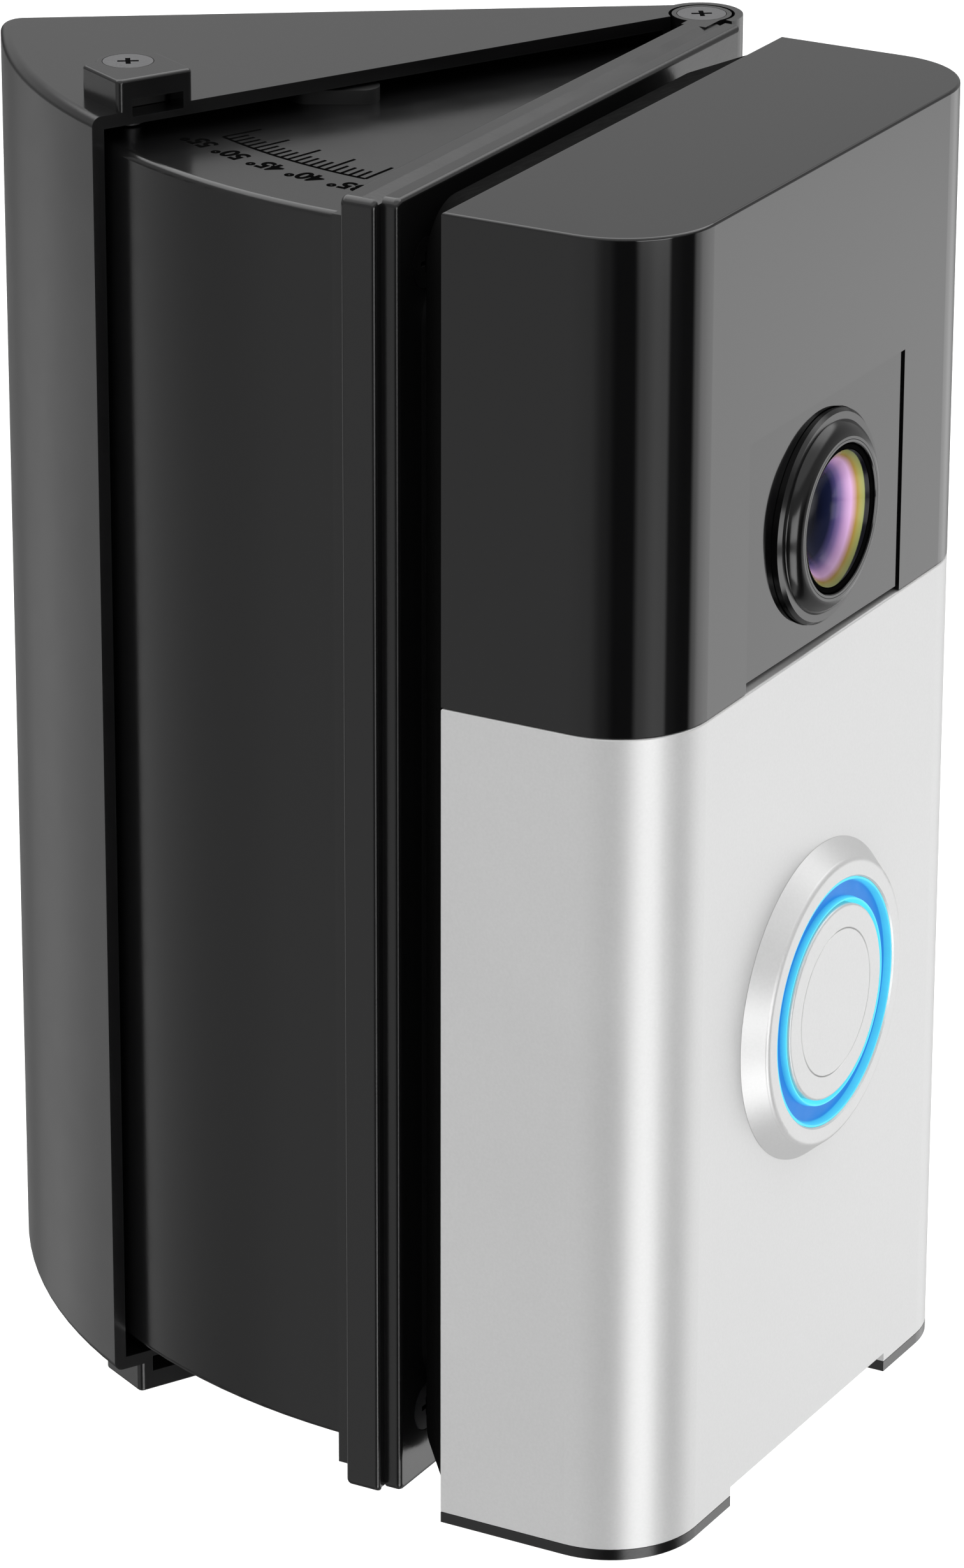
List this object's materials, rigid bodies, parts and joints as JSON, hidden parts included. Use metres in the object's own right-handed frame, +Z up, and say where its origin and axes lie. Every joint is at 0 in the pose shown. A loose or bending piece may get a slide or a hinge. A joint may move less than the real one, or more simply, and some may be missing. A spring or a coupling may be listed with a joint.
{
  "type": "video doorbell",
  "caption": "Video doorbell with camera and lit push button on an adjustable angle mount whose swinging plate telescopes into a wall housing.",
  "frame": {"origin": "centre of the four wall screws, on the wall face of the mount", "axes": "+Z up; +Y into the wall; +X along the wall towards the mount's hinge; the doorbell stands out towards -Y"},
  "size_m": [0.0842, 0.0742, 0.1272],
  "materials": {
    "mount_black": "fine moulded texture, matt",
    "housing_black": "fine moulded texture",
    "cover_gloss": "polished piano black",
    "faceplate_satin": "satin metallic coating",
    "button_face": "satin metallic coating, pale",
    "screw_black": "black oxide",
    "screw_steel": "zinc plated",
    "can_steel": "tin plated",
    "brass_strip": "plain",
    "nylon_grey": "smooth",
    "inner_plastic": "moulded",
    "silicone": "matt",
    "board_green": "solder mask",
    "flex_amber": "polyimide",
    "battery_wrap": "shrink wrap",
    "lamp_resin": "clear resin",
    "lens_glass": "coated optical glass",
    "light_blue": "diffusing, lit"
  },
  "bodies": {
    "wall_mount": {"wall_housing": "mount_black", "lock_screws": "screw_black", "lock_nuts": "screw_black", "hinge_screws": "screw_black"},
    "swing_plate": {"swing_housing": "mount_black", "glide_pads": "nylon_grey", "doorbell_plate": "mount_black", "plate_screws": "screw_black", "mounting_bracket": "housing_black", "bracket_screws": "screw_steel", "rear_housing": "housing_black", "upper_cover": "cover_gloss", "faceplate": "faceplate_satin", "bottom_trim": "housing_black", "security_screw": "screw_steel", "lens_bezel": "cover_gloss", "lens_trim_ring": "cover_gloss", "lens_barrel": "housing_black", "front_lens": "lens_glass", "rear_lens": "lens_glass", "image_sensor_board": "board_green", "camera_flex": "flex_amber", "ir_leds": "lamp_resin", "ir_led_board": "board_green", "button_bezel": "faceplate_satin", "light_ring": "light_blue", "button_guide": "inner_plastic", "return_pad": "silicone", "ring_lamps": "lamp_resin", "press_switch": "inner_plastic", "chassis": "inner_plastic", "weather_gasket": "silicone", "main_board": "board_green", "board_parts": "can_steel", "board_screws": "screw_steel", "battery": "battery_wrap", "speaker": "inner_plastic", "microphone": "can_steel", "motion_sensor": "can_steel", "terminal_screws": "screw_steel", "terminal_block": "brass_strip", "charge_port": "can_steel"},
    "call_button": {"button_cap": "button_face"}
  },
  "joints": [
    {"name": "angle_hinge", "type": "hinge", "parent": "wall_mount", "child": "swing_plate", "pos_m": [0.03, -0.0038, 0], "axis": [0, 0, 1], "range_deg": [-22, 0]},
    {"name": "button_press", "type": "slide", "parent": "swing_plate", "child": "call_button", "axis": [-0.829, 0.5592, 0], "range_m": [0, 0.0007], "stiffness_N_per_m": 3500, "springref_m": -0.0004}
  ]
}
